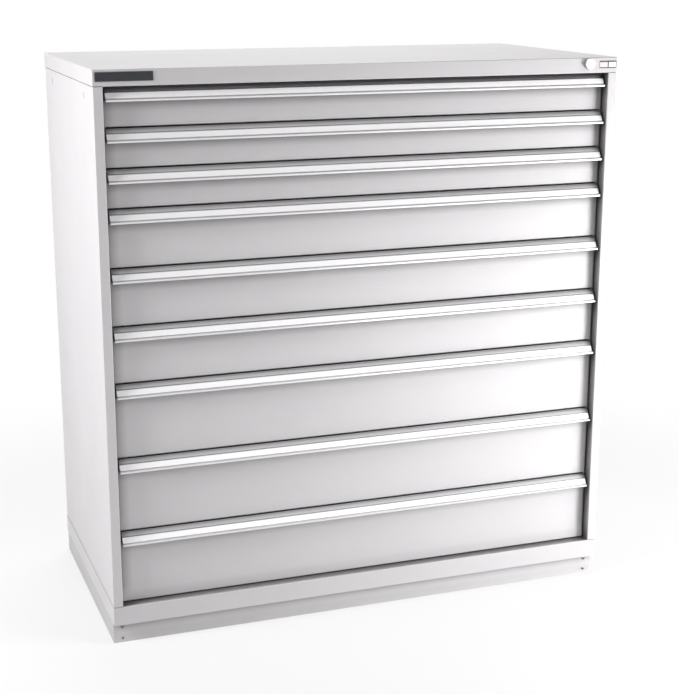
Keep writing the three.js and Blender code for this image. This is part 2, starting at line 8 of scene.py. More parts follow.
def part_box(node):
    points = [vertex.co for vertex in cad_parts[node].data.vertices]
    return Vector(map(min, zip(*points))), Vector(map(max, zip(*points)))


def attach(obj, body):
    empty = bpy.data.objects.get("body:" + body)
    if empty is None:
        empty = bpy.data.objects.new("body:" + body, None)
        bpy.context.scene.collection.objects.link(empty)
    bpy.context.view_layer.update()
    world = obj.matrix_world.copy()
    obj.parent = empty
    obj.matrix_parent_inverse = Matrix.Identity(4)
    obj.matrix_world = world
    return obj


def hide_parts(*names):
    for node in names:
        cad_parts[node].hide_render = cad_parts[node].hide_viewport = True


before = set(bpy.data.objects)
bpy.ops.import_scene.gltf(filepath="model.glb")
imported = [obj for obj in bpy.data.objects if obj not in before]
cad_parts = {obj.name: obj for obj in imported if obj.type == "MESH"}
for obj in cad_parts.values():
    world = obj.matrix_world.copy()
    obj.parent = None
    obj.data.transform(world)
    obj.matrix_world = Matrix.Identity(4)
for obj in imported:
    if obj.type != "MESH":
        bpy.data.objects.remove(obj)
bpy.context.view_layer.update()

# Metres throughout. A node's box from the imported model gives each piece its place, and v is
# the dictionary of the piece that a function makes.
mm = 0.001
drawerNumbers = range(1, 10)
cutReach = 10 * mm  # how far a cutter stands out of the sheet it cuts
overlap = 0.2 * mm  # how far joined parts reach into each other


def centreOf(node):
    low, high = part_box(node)
    return (low + high) / 2


# Modelling

def deselectAll():
    if bpy.context.object and bpy.context.object.mode != "OBJECT":
        bpy.ops.object.mode_set(mode="OBJECT")
    bpy.ops.object.select_all(action="DESELECT")


def makeActive(piece):
    deselectAll()
    piece.select_set(True)
    bpy.context.view_layer.objects.active = piece


def editing(piece, selectMode):
    makeActive(piece)
    bpy.ops.object.mode_set(mode="EDIT")
    bpy.ops.mesh.select_mode(type=selectMode)


def doneEditing():
    bpy.ops.object.mode_set(mode="OBJECT")


def selectAll():
    bpy.ops.mesh.select_all(action="SELECT")


def extrudeBy(step):
    bpy.ops.mesh.extrude_region_move(TRANSFORM_OT_translate={"value": step})


def bevelPicked(width, segments):
    bpy.ops.mesh.bevel(offset=width, segments=segments, affect="EDGES")


def pick(piece, kind, test):
    # selects the faces, edges or verts that pass a test on their place or normal
    bpy.ops.mesh.select_all(action="DESELECT")
    mesh = bmesh.from_edit_mesh(piece.data)
    mesh.normal_update()
    found = [item for item in getattr(mesh, kind) if test(item)]
    for item in found:
        item.select_set(True)
    mesh.select_flush_mode()
    bmesh.update_edit_mesh(piece.data)
    return len(found)


def pickFaces(piece, test):
    editing(piece, "FACE")
    pick(piece, "faces", test)


def insetBy(steps):
    # each step has a width and a rise; the last ends the editing
    for width, rise in steps:
        bpy.ops.mesh.inset(thickness=width, depth=rise)
    doneEditing()


def middleOf(item):
    return sum((vert.co for vert in item.verts), Vector()) / len(item.verts)


def runsAlong(edge, axis):
    step = edge.verts[1].co - edge.verts[0].co
    return abs(step[axis]) > 0.999 * step.length


def isFold(edge):
    return not edge.is_boundary and edge.calc_face_angle(0) > 0.35


def applyModifier(piece, kind, **values):
    makeActive(piece)
    modifier = piece.modifiers.new(kind.lower(), kind)
    for key, value in values.items():
        setattr(modifier, key, value)
    bpy.ops.object.modifier_apply(modifier=modifier.name)


def roundEdges(piece, width, segments=2, angle=40):
    applyModifier(
        piece, "BEVEL", width=width, segments=segments, limit_method="ANGLE",
        angle_limit=math.radians(angle), use_clamp_overlap=True,
    )


def smoothed(piece, angle=40):
    makeActive(piece)
    bpy.ops.object.shade_smooth_by_angle(angle=math.radians(angle))
    applyModifier(piece, "WEIGHTED_NORMAL", keep_sharp=True, weight=80)
    return piece


def sheeted(piece, values, isBend=isFold):
    # rounds an open skin's folds, thickens it inwards and softens the cut edges
    if pick(piece, "edges", isBend):
        bevelPicked(values["fold"], values["foldSteps"])
    applyModifier(piece, "SOLIDIFY", thickness=values["sheet"], offset=-1, use_even_offset=True)
    roundEdges(piece, values["cutRound"])
    return smoothed(piece)


def addCube(name, low, high):
    deselectAll()
    low, high = Vector(low), Vector(high)
    bpy.ops.mesh.primitive_cube_add(size=1, location=(low + high) / 2, scale=high - low)
    return named(name)


def addCylinder(name, radius, start, end, sides=32):
    # a round bar between two points
    deselectAll()
    start, end = Vector(start), Vector(end)
    turn = (end - start).to_track_quat("Z", "Y").to_euler()
    bpy.ops.mesh.primitive_cylinder_add(
        vertices=sides, radius=radius, depth=(end - start).length,
        location=(start + end) / 2, rotation=turn,
    )
    return named(name)


def barAlongY(name, radius, at, start, end, sides=32):
    return addCylinder(name, radius, (at.x, start, at.z), (at.x, end, at.z), sides)


def named(name):
    piece = bpy.context.object
    piece.name = piece.data.name = name
    bpy.ops.object.transform_apply(location=True, rotation=True, scale=True)
    return piece


def startPath(name, points):
    # a plane merged to one point, extruded through the others
    deselectAll()
    bpy.ops.mesh.primitive_plane_add(size=mm)
    piece = named(name)
    editing(piece, "VERT")
    selectAll()
    bpy.ops.mesh.merge(type="CENTER")
    bpy.ops.transform.translate(value=points[0])
    for before, after in zip(points, points[1:]):
        step = Vector(after) - Vector(before)
        bpy.ops.mesh.extrude_vertices_move(TRANSFORM_OT_translate={"value": step})
    return piece


def runStraight(run):
    # extrudes what is drawn and turns its faces outwards
    selectAll()
    extrudeBy(run)
    selectAll()
    bpy.ops.mesh.normals_make_consistent(inside=False)


def foldedStrip(name, points, run, outwards, values):
    # a sheet folded along a path and run straight; outwards is its first leg's outer side
    piece = startPath(name, points)
    runStraight(run)
    mesh = bmesh.from_edit_mesh(piece.data)
    start = (Vector(points[0]) + Vector(points[1]) + Vector(run)) / 2
    first = min(mesh.faces, key=lambda face: (middleOf(face) - start).length)
    if first.normal.dot(Vector(outwards)) < 0:
        bpy.ops.mesh.flip_normals()
    bpy.ops.mesh.select_mode(type="EDGE")
    axis = max(range(3), key=lambda index: abs(run[index]))
    return sheeted(piece, values, lambda edge: isFold(edge) and runsAlong(edge, axis))


def barOutline(name, points, run):
    # a closed outline filled and run straight in one direction
    piece = startPath(name, points)
    selectAll()
    bpy.ops.mesh.edge_face_add()
    runStraight(run)
    doneEditing()
    return piece


def openBox(name, low, high, openTo):
    # a box without the face of one side
    box = addCube(name, low, high)
    pickFaces(box, lambda face: face.normal.dot(openTo) > 0.9)
    bpy.ops.mesh.delete(type="ONLY_FACE")
    bpy.ops.mesh.select_mode(type="EDGE")
    return box


def tray(name, low, high, openTo, values):
    # an open box with its edge turned inwards
    low, high, openTo = Vector(low), Vector(high), Vector(openTo)
    piece, middle, size = openBox(name, low, high, openTo), (low + high) / 2, high - low
    pick(piece, "edges", lambda edge: edge.is_boundary)
    extrudeBy((0, 0, 0))
    turnIn = 2 * values["turnIn"]
    shrink = [1 if abs(openTo[axis]) > 0.5 else 1 - turnIn / size[axis] for axis in range(3)]
    bpy.ops.transform.resize(value=shrink, center_override=middle)
    return sheeted(piece, values)


def roundEnded(name, low, high, radius, segments):
    # a flat bar across X, its four corners rounded off
    bar = addCube(name, low, high)
    editing(bar, "EDGE")
    pick(bar, "edges", lambda edge: runsAlong(edge, 0))
    bevelPicked(radius, segments)
    doneEditing()
    return bar


def slotCutter(middle, size):
    # cuts a slot with round ends through a sheet across X
    half = Vector((cutReach, size[0] / 2, size[1] / 2))
    return roundEnded("cutter", middle - half, middle + half, min(size) * 0.49, 6)


def cut(piece, *cutters):
    for cutter in cutters:
        applyModifier(piece, "BOOLEAN", operation="DIFFERENCE", solver="EXACT", object=cutter)
        bpy.data.objects.remove(cutter)
    return piece


def joined(name, *pieces):
    deselectAll()
    for piece in pieces:
        piece.select_set(True)
    bpy.context.view_layer.objects.active = pieces[0]
    bpy.ops.object.join()
    pieces[0].name = pieces[0].data.name = name
    return pieces[0]


def copyOf(piece, name, move=(0, 0, 0)):
    copy = piece.copy()
    copy.data = piece.data.copy()
    copy.name = copy.data.name = name
    copy.data.transform(Matrix.Translation(move))
    bpy.context.scene.collection.objects.link(copy)
    return copy


def mirroredCopy(piece, name):
    # the same piece on the other side of the cabinet
    copy = copyOf(piece, name)
    makeActive(copy)
    bpy.ops.mesh.customdata_custom_splitnormals_clear()
    copy.data.transform(Matrix.Diagonal((-1, 1, 1, 1)))
    copy.data.flip_normals()
    return smoothed(copy)


# Materials

def feed(tree, socket, value):
    # a link where the value is a socket, otherwise a plain number or colour
    if isinstance(value, bpy.types.NodeSocket):
        tree.links.new(value, socket)
    elif socket.type == "RGBA":
        socket.default_value = (*value, 1)
    else:
        socket.default_value = value


def addNode(tree, kind, **values):
    # values are the node's inputs, with _ for a space in a name, or its settings
    node = tree.nodes.new("ShaderNode" + kind)
    for key, value in values.items():
        label = key.replace("_", " ")
        if label in node.inputs:
            feed(tree, node.inputs[label], value)
        else:
            setattr(node, key, value)
    return node


def joinUp(tree, *pairs):
    for source, target in pairs:
        tree.links.new(source, target)


def reckoned(tree, operation, first, second, clamp=False):
    # one sum with two numbers or sockets
    node = addNode(tree, "Math", operation=operation, use_clamp=clamp)
    feed(tree, node.inputs[0], first)
    feed(tree, node.inputs[1], second)
    return node.outputs[0]


def blended(tree, kind, mask, first, second):
    # a Mix node has its own inputs and output for each kind of value
    inputs, result = {"FLOAT": ((0, 2, 3), 0), "RGBA": ((0, 6, 7), 2)}[kind]
    node = addNode(tree, "Mix", data_type=kind)
    for index, value in zip(inputs, (mask, first, second)):
        feed(tree, node.inputs[index], value)
    return node.outputs[result]


wearSharpness = 9.0
footFade = 0.06
recessRoughness = 0.9


def placeOn(tree):
    return addNode(tree, "TexCoord").outputs["Object"]


def patternOn(tree, kind, scale, **values):
    # a texture on the piece's own coordinates
    return addNode(tree, kind, Vector=placeOn(tree), Scale=scale, **values).outputs[0]


def newGroup(name, inputs, outputs):
    tree = bpy.data.node_groups.new(name, "ShaderNodeTree")
    for side, labels in (("INPUT", inputs), ("OUTPUT", outputs)):
        for label in labels:
            tree.interface.new_socket(name=label, in_out=side, socket_type="NodeSocketFloat")
    given, made = tree.nodes.new("NodeGroupInput"), tree.nodes.new("NodeGroupOutput")
    return tree, given.outputs, made.inputs


def orangePeelGroup():
    # fine rolling surface of baked powder paint, and slow changes in its sheen
    tree, given, made = newGroup("orangePeel", ("Grain", "Drift"), ("Height", "Sheen"))
    peel = patternOn(tree, "TexNoise", given["Grain"], Detail=2.0, Roughness=0.45)
    slow = patternOn(tree, "TexNoise", given["Drift"], Detail=3.0, Roughness=0.5)
    joinUp(tree, (peel, made["Height"]), (slow, made["Sheen"]))
    return tree


def edgeWearGroup():
    # broken mask along outer edges
    tree, given, made = newGroup("edgeWear", ("Reach", "Break"), ("Mask",))
    shape = addNode(tree, "NewGeometry")
    over = reckoned(tree, "SUBTRACT", shape.outputs["Pointiness"], given["Reach"])
    sharper = reckoned(tree, "MULTIPLY", over, wearSharpness, True)
    patches = patternOn(tree, "TexNoise", given["Break"], Detail=4.0, Roughness=0.6)
    joinUp(tree, (reckoned(tree, "MULTIPLY", sharper, patches, True), made["Mask"]))
    return tree


def dustGroup():
    # thin dust on what faces upwards, in soft patches
    tree, given, made = newGroup("settledDust", ("Patches", "Amount"), ("Mask",))
    shape = addNode(tree, "NewGeometry")
    split = addNode(tree, "SeparateXYZ", Vector=shape.outputs["Normal"])
    upwards = addNode(tree, "MapRange", Value=split.outputs["Z"], From_Min=0.6)
    cloud = patternOn(tree, "TexNoise", given["Patches"], Detail=6.0, Roughness=0.62)
    lying = reckoned(tree, "MULTIPLY", upwards.outputs[0], cloud)
    joinUp(tree, (reckoned(tree, "MULTIPLY", lying, given["Amount"], True), made["Mask"]))
    return tree


def drawnLinesGroup():
    # long fine lines that an extrusion die or a brush leaves along X
    tree, given, made = newGroup("drawnLines", ("Fineness", "Stretch"), ("Height", "Streak"))
    fineness = given["Fineness"]
    squeeze = addNode(tree, "CombineXYZ", X=given["Stretch"], Y=fineness, Z=fineness)
    stretched = addNode(tree, "VectorMath", operation="MULTIPLY")
    along = stretched.outputs[0]
    fine = addNode(tree, "TexNoise", Vector=along, Scale=1.0, Detail=3.0, Roughness=0.6)
    broad = addNode(tree, "TexNoise", Vector=along, Scale=0.16, Detail=2.0, Roughness=0.5)
    joinUp(
        tree, (placeOn(tree), stretched.inputs[0]), (squeeze.outputs[0], stretched.inputs[1]),
        (fine.outputs["Fac"], made["Height"]), (broad.outputs["Fac"], made["Streak"]),
    )
    return tree


def platedGroup():
    # cloudy patches of a passivated zinc coat
    tree, given, made = newGroup("platedClouds", ("Size",), ("Cloud", "Fleck"))
    size = given["Size"]
    cloud = patternOn(tree, "TexNoise", size, Detail=5.0, Roughness=0.6, Distortion=0.8)
    finer = reckoned(tree, "MULTIPLY", size, 4.0)
    joinUp(tree, (cloud, made["Cloud"]), (patternOn(tree, "TexVoronoi", finer), made["Fleck"]))
    return tree


def paintedShadeGroup():
    # painted shade: an ambient occlusion mask that fades into gaps and under overhangs, where
    # shade falls; below its foot height it stays open
    tree, given, made = newGroup("paintedShadeMask", ("Reach", "Depth", "Foot"), ("Open",))
    near = addNode(tree, "AmbientOcclusion", samples=8, Distance=given["Reach"])
    deeper = reckoned(tree, "POWER", near.outputs["AO"], given["Depth"])
    split = addNode(tree, "SeparateXYZ", Vector=placeOn(tree))
    height = addNode(
        tree, "MapRange", interpolation_type="SMOOTHSTEP", Value=split.outputs["Z"],
        From_Min=reckoned(tree, "SUBTRACT", given["Foot"], footFade), From_Max=given["Foot"],
    )
    joinUp(tree, (blended(tree, "FLOAT", height.outputs[0], 1.0, deeper), made["Open"]))
    return tree


effects = {
    "paintedShade": paintedShadeGroup(),
    "peel": orangePeelGroup(),
    "wear": edgeWearGroup(),
    "dust": dustGroup(),
    "lines": drawnLinesGroup(),
    "clouds": platedGroup(),
}


def newMaterial(name, color, **shaderValues):
    material = bpy.data.materials.new(name)
    material.use_nodes = True
    material.diffuse_color = (*color, 1)
    tree = material.node_tree
    shader = tree.nodes["Principled BSDF"]
    shader.inputs["Base Color"].default_value = (*color, 1)
    for key, value in shaderValues.items():
        shader.inputs[key.replace("_", " ")].default_value = value
    return material, tree, shader


def effect(tree, kind, **values):
    node = tree.nodes.new("ShaderNodeGroup")
    node.node_tree = effects[kind]
    for key, value in values.items():
        node.inputs[key].default_value = value
    return node.outputs


def spread(tree, source, low, high):
    # a 0 to 1 mask turned to a range of values
    node = addNode(
        tree, "MapRange", Value=source, From_Min=0.3, From_Max=0.7, To_Min=low, To_Max=high,
    )
    return node.outputs[0]


def tinted(tree, mask, first, second):
    # first and second are colours or sockets
    return blended(tree, "RGBA", mask, first, second)


def overlaid(tree, kind, base, color, **values):
    # a colour over the base where the effect's mask is
    return tinted(tree, effect(tree, kind, **values)["Mask"], base, color)


def paintShadeAndDull(tree, shader, values, base, sheen):
    # paints shade into the colour in gaps and under overhangs, and dulls the finish there
    foot = values.get("foot", 0)
    paintedShade = effect(tree, "paintedShade", Reach=values["reach"], Depth=values["depth"], Foot=foot)
    color = tinted(tree, paintedShade["Open"], values["paintedShade"], base)
    roughness = spread(tree, sheen, *values["roughness"])
    duller = blended(tree, "FLOAT", paintedShade["Open"], recessRoughness, roughness)
    joinUp(tree, (color, shader.inputs["Base Color"]), (duller, shader.inputs["Roughness"]))


def bumped(tree, shader, height, strength, distance):
    node = addNode(tree, "Bump", Strength=strength, Distance=distance, Height=height)
    joinUp(tree, (node.outputs[0], shader.inputs["Normal"]))


# the darkest colour, reach and depth give the painted shade in gaps and under overhangs
paintValues = {
    "color": (0.53, 0.514, 0.526),
    "shade": (0.515, 0.5, 0.513),
    "edge": (0.61, 0.6, 0.605),
    "dust": (0.49, 0.486, 0.476),
    "paintedShade": (0.05, 0.049, 0.047),
    "reach": 0.035,
    "depth": 1.5,
    "roughness": (0.34, 0.44),
    "peelHeight": 0.00004,
}
# deeper painted shade for the pan and the side panels
panPaintValues = {**paintValues, "reach": 0.05, "depth": 3.4}
# the base's painted shade fades out towards the floor below its foot height
basePaintValues = {**paintValues, "reach": 0.03, "depth": 1.6, "foot": 0.06}
# a darker copy of the base's white paint: painted shade on the base frame below the pan
shadedFramePaintValues = {
    **basePaintValues, "color": (0.44, 0.427, 0.437), "shade": (0.428, 0.416, 0.426),
    "edge": (0.52, 0.51, 0.515),
}
# painted shade kept off the foot of the lowest drawer front
lowPaintValues = {**paintValues, "foot": 0.17}
# only a thin painted shade on the top cover
coverPaintValues = {**paintValues, "reach": 0.006, "depth": 0.8}


def paintMaterial(name, values):
    material, tree, shader = newMaterial(name, values["color"], Specular_IOR_Level=0.45)
    peel = effect(tree, "peel", Grain=420.0, Drift=3.0)
    base = tinted(tree, spread(tree, peel["Sheen"], 0, 1), values["color"], values["shade"])
    dusty = overlaid(tree, "dust", base, values["dust"], Patches=6.0, Amount=0.35)
    worn = overlaid(tree, "wear", dusty, values["edge"], Reach=0.53, Break=55.0)
    paintShadeAndDull(tree, shader, values, worn, peel["Sheen"])
    bumped(tree, shader, peel["Height"], 0.5, values["peelHeight"])
    return material


# the darkest colour, reach and depth give a light painted shade in narrow gaps
anodisedValues = {
    "color": (0.72, 0.715, 0.73),
    "streak": (0.66, 0.655, 0.67),
    "edge": (0.85, 0.85, 0.85),
    "paintedShade": (0.05, 0.05, 0.052),
    "reach": 0.006,
    "depth": 0.5,
    "roughness": (0.26, 0.36),
    "metallic": 0.6,
    "lineHeight": 0.00002,
}
# a darker, duller copy of the anodised finish with deep painted shade: painted shade on the
# rail's shoulder under the drawer above and on the plate inside the finger hollow
shoulderShadeValues = {
    **anodisedValues, "color": (0.46, 0.455, 0.465), "streak": (0.42, 0.415, 0.425),
    "edge": (0.5, 0.5, 0.51), "reach": 0.03, "depth": 2.6, "roughness": (0.5, 0.6),
    "metallic": 0.1,
}
# a near black copy of the anodised finish: painted shade on the rail's ends and on its faces
# turned back into the hollow
endShadeValues = {
    **anodisedValues, "color": (0.04, 0.04, 0.042), "streak": (0.035, 0.035, 0.037),
    "edge": (0.06, 0.06, 0.06), "paintedShade": (0.01, 0.01, 0.01),
}


def anodisedMaterial(name, values):
    material, tree, shader = newMaterial(name, values["color"], Metallic=values["metallic"])
    lines = effect(tree, "lines", Fineness=1100.0, Stretch=5.0)
    streaky = tinted(tree, lines["Streak"], values["color"], values["streak"])
    worn = overlaid(tree, "wear", streaky, values["edge"], Reach=0.54, Break=80.0)
    paintShadeAndDull(tree, shader, values, worn, lines["Streak"])
    bumped(tree, shader, lines["Height"], 0.4, values["lineHeight"])
    return material


# the darkest colour, reach and depth give a light painted shade in narrow gaps
zincValues = {
    "color": (0.62, 0.63, 0.64),
    "cloud": (0.55, 0.555, 0.53),
    "dust": (0.5, 0.49, 0.47),
    "roughness": (0.28, 0.46),
    "paintedShade": (0.05, 0.05, 0.05),
    "reach": 0.01,
    "depth": 0.8,
    "fleckHeight": 0.00003,
}
# a dark copy of the plated finish with deep painted shade: painted shade in the cross recess of
# each screw head
socketShadeValues = {
    **zincValues, "color": (0.16, 0.16, 0.17), "cloud": (0.13, 0.13, 0.135),
    "reach": 0.004, "depth": 2.0,
}
dullValues = {
    **zincValues, "color": (0.46, 0.45, 0.46), "cloud": (0.42, 0.41, 0.42),
    "roughness": (0.45, 0.6), "reach": 0.004,
}


def zincMaterial(name, values):
    material, tree, shader = newMaterial(name, values["color"], Metallic=1.0)
    clouds = effect(tree, "clouds", Size=80.0)
    base = tinted(tree, spread(tree, clouds["Cloud"], 0, 1), values["color"], values["cloud"])
    dusty = overlaid(tree, "dust", base, values["dust"], Patches=20.0, Amount=0.6)
    paintShadeAndDull(tree, shader, values, dusty, clouds["Cloud"])
    bumped(tree, shader, clouds["Fleck"], 0.3, values["fleckHeight"])
    return material


# the darkest colour, reach and depth give strong painted shade on the lock barrel's side next to
# the header
chromeValues = {
    "color": (0.86, 0.855, 0.87),
    "dull": (0.82, 0.815, 0.83),
    "paintedShade": (0.06, 0.06, 0.06),
    "reach": 0.014,
    "depth": 2.2,
    "roughness": (0.36, 0.46),
    "lineHeight": 0.00001,
}


def chromeMaterial(name, values):
    material, tree, shader = newMaterial(name, values["color"], Metallic=1.0)
    lines = effect(tree, "lines", Fineness=2400.0, Stretch=900.0)
    dull = overlaid(tree, "wear", values["color"], values["dull"], Reach=0.52, Break=300.0)
    paintShadeAndDull(tree, shader, values, dull, lines["Streak"])
    bumped(tree, shader, lines["Height"], 0.2, values["lineHeight"])
    return material


grainHeight = 0.02 * mm
nylonValues = {
    "color": (0.045, 0.046, 0.05), "worn": (0.11, 0.11, 0.115), "roughness": (0.35, 0.55),
}
badgeValues = {
    "color": (0.028, 0.029, 0.033), "worn": (0.05, 0.051, 0.055), "roughness": (0.36, 0.48),
}
labelValues = {
    "pink": {"color": (0.66, 0.6, 0.615), "worn": (0.63, 0.58, 0.59), "roughness": (0.4, 0.55)},
    "white": {"color": (0.76, 0.76, 0.76), "worn": (0.72, 0.72, 0.71), "roughness": (0.4, 0.55)},
    "lines": {"color": (0.03, 0.03, 0.032), "worn": (0.07, 0.07, 0.07), "roughness": (0.4, 0.55)},
}
stockValues = {
    "color": (0.925, 0.91, 0.93), "worn": (0.9, 0.885, 0.9), "roughness": (0.25, 0.35),
}


def plasticMaterial(name, values, **shaderValues):
    material, tree, shader = newMaterial(name, values["color"], **shaderValues)
    clouds = effect(tree, "clouds", Size=160.0)
    base = tinted(tree, clouds["Cloud"], values["color"], values["worn"])
    worn = overlaid(tree, "wear", base, values["worn"], Reach=0.52, Break=120.0)
    sheen = spread(tree, clouds["Cloud"], *values["roughness"])
    joinUp(tree, (worn, shader.inputs["Base Color"]), (sheen, shader.inputs["Roughness"]))
    bumped(tree, shader, clouds["Fleck"], 0.2, grainHeight)
    return material


paint = paintMaterial("whitePowderPaint", paintValues)
panPaint = paintMaterial("whitePanPaint", panPaintValues)
basePaint = paintMaterial("whiteBasePaint", basePaintValues)
shadedFramePaint = paintMaterial("baseFramePaintedShade", shadedFramePaintValues)
lowPaint = paintMaterial("whiteLowPaint", lowPaintValues)
coverPaint = paintMaterial("whiteCoverPaint", coverPaintValues)
anodised = anodisedMaterial("anodisedAluminium", anodisedValues)
shoulderPaintedShade = anodisedMaterial("shoulderPaintedShade", shoulderShadeValues)
railEndShade = anodisedMaterial("anodisedEndPaintedShade", endShadeValues)
zinc = zincMaterial("platedSteel", zincValues)
socketShade = zincMaterial("screwSocketPaintedShade", socketShadeValues)
dullSteel = zincMaterial("dullPlatedSteel", dullValues)
chrome = chromeMaterial("lockChrome", chromeValues)
nylon = plasticMaterial("rollerNylon", nylonValues)
badgeDark = plasticMaterial("badgeDark", badgeValues, Specular_IOR_Level=0.2)
labelPink = plasticMaterial("labelPink", labelValues["pink"])
labelWhite = plasticMaterial("labelWhite", labelValues["white"])
labelBorder = plasticMaterial("labelBorder", labelValues["lines"], Specular_IOR_Level=0.2)
labelStock = plasticMaterial("labelStock", stockValues)
print("materials done")


def placed(piece, body, materials, slotName, *nodes):
    piece.data.materials.clear()
    for material in materials:
        piece.data.materials.append(material)
    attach(piece, body)
    if nodes:
        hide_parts(*nodes)
    return piece


def keptNode(name, node, width, body, material, slotName):
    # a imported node's copy, its loose triangles merged and its edges softened
    piece = copyOf(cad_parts[node], name)
    piece.parent = None
    for key in list(piece.keys()):
        del piece[key]
    editing(piece, "VERT")
    selectAll()
    bpy.ops.mesh.customdata_custom_splitnormals_clear()
    bpy.ops.mesh.remove_doubles(threshold=0.02 * mm)
    bpy.ops.mesh.dissolve_limited(angle_limit=math.radians(1))
    doneEditing()
    roundEdges(piece, width, 2, 30)
    placed(smoothed(piece), body, [material], slotName, node)


def paintFaces(piece, index, test):
    for polygon in piece.data.polygons:
        if test(polygon):
            polygon.material_index = index


# Housing

sideLow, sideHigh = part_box("side_panel_right")
frontFace, backFace = sideLow.y, sideHigh.y

sheetValues = {"sheet": 2 * mm, "fold": 2.2 * mm, "foldSteps": 3, "cutRound": 0.3 * mm}
coverValues = {
    **sheetValues,
    "turnIn": 24 * mm,
    "fold": 3 * mm,
    "foldSteps": 4,
    "lockHole": 9.8 * mm,
    "barSlot": 15 * mm,
}
panValues = {**sheetValues, "turnIn": 24 * mm}
sideValues = {
    **sheetValues,
    "rearFlange": 24 * mm,
    "postReturn": 31 * mm,
    "postLip": 12 * mm,
    "slotDepths": [120 * mm, 602 * mm],
    "slotSize": (4 * mm, 17 * mm),
    "slotDrop": 20.4 * mm,
}


def makeCover():
    v = coverValues
    low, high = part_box("top_cover")
    cover = tray("topCover", low, high, (0, 0, -1), v)
    start, end = frontFace - cutReach, frontFace + cutReach
    hole = barAlongY("cutter", v["lockHole"], centreOf("lock_barrel"), start, end)
    barLow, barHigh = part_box("lock_bar")
    slot = addCube(
        "cutter", (barHigh.x - v["barSlot"], barLow.y - mm, low.z - cutReach),
        (barHigh.x + mm, barHigh.y + mm, low.z + cutReach),
    )
    placed(smoothed(cut(cover, hole, slot)), "root", [coverPaint], "white_paint", "top_cover")


def makeSides():
    v = sideValues
    outer, inner, foot = sideHigh.x, sideLow.x, sideLow.z
    postBack = frontFace + v["postReturn"]
    path = [
        (outer - v["rearFlange"], backFace, foot), (outer, backFace, foot),
        (outer, frontFace, foot), (inner, frontFace, foot), (inner, postBack, foot),
        (inner + v["postLip"], postBack, foot),
    ]
    right = foldedStrip("sidePanelRight", path, (0, 0, sideHigh.z - foot), (0, 1, 0), v)
    slotHeight = sideHigh.z - v["slotDrop"] - v["slotSize"][1] / 2
    for depth in v["slotDepths"]:
        cut(right, slotCutter(Vector((outer, frontFace + depth, slotHeight)), v["slotSize"]))
    smoothed(right)
    left = mirroredCopy(right, "sidePanelLeft")
    placed(right, "root", [panPaint], "white_paint", "side_panel_right")
    placed(left, "root", [panPaint], "white_paint", "side_panel_left")


backValues = {
    "edgeRound": 0.4 * mm,
    "rivetRadius": 3.2 * mm,
    "rivetHeight": 1 * mm,
    "rivetRows": 7,
    "rivetInset": 12 * mm,
    "rivetEnd": 60 * mm,
}


def rivetHead(radius, height, at):
    # low domed head facing the back
    head = barAlongY("rivetHead", radius, at, at.y, at.y + height, 20)
    pickFaces(head, lambda face: face.normal.y > 0.9)
    insetBy((radius * 0.3, height * rise) for rise in (0.35, 0.15))
    return smoothed(head, 60)


def makeBack():
    v = backValues
    keptNode("backPanel", "back_panel", v["edgeRound"], "root", paint, "white_paint")
    lowest = Vector((sideHigh.x - v["rivetInset"], backFace, sideLow.z + v["rivetEnd"]))
    head = rivetHead(v["rivetRadius"], v["rivetHeight"], lowest)
    step = (sideHigh.z - sideLow.z - 2 * v["rivetEnd"]) / (v["rivetRows"] - 1)
    rows = range(1, v["rivetRows"])
    heads = [head] + [copyOf(head, "rivetHead", (0, 0, row * step)) for row in rows]
    right = joined("rearRivetsRight", *heads)
    for rivets in (right, mirroredCopy(right, "rearRivetsLeft")):
        placed(rivets, "root", [zinc], "zinc_steel")


def makePan():
    pan = tray("bottomPan", *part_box("bottom_pan"), (0, 0, -1), panValues)
    placed(pan, "root", [panPaint], "white_paint", "bottom_pan")


makeCover()
makeSides()
makeBack()
makePan()
print("housing done")


# Base

sides = ("left", "right")
screwNames = [f"base_screw_{side}_{row}" for side in sides for row in ("lower", "upper")]
baseValues = {
    "frameRound": 0.5 * mm,
    "edgeRound": 0.5 * mm,
    "holeRadius": 2.3 * mm,
    "headHeight": 2.4 * mm,
    "headRound": 1.1 * mm,
    "socket": 2.4 * mm,
    "crossWidth": 0.9 * mm,
    "crossLength": 4.6 * mm,
    "crossDepth": 1.3 * mm,
    "shankRadius": 2 * mm,
    "shankRound": 0.4 * mm,
}


def makeBaseCover():
    low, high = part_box("base_front_cover")
    cover = addCube("baseFrontCover", low, high)
    roundEdges(cover, baseValues["edgeRound"])
    start, end = low.y - cutReach, low.y + 2 * cutReach
    for node in screwNames:
        hole = barAlongY("cutter", baseValues["holeRadius"], centreOf(node), start, end, 24)
        cut(cover, hole)
    placed(smoothed(cover), "root", [basePaint], "white_paint", "base_front_cover")


def makeScrew(name, node):
    # pan head with a cross recess, its shank behind
    v = baseValues
    low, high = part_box(node)
    at = centreOf(node)
    radius, seat = (high.x - low.x) / 2, low.y + v["headHeight"]
    head = barAlongY("head", radius, at, seat, low.y)
    pickFaces(head, lambda face: face.normal.y < -0.9)
    bevelPicked(v["headRound"], 4)
    doneEditing()
    long, wide = v["crossLength"] / 2, v["crossWidth"] / 2
    deep = low.y + v["crossDepth"]
    for x, z in ((long, wide), (wide, long)):
        cut(head, addCube(
            "cutter", (at.x - x, low.y - mm, at.z - z), (at.x + x, deep, at.z + z),
        ))
    shank = barAlongY("shank", v["shankRadius"], at, seat - overlap, high.y, 24)
    roundEdges(shank, v["shankRound"])
    return smoothed(joined(name, head, shank))


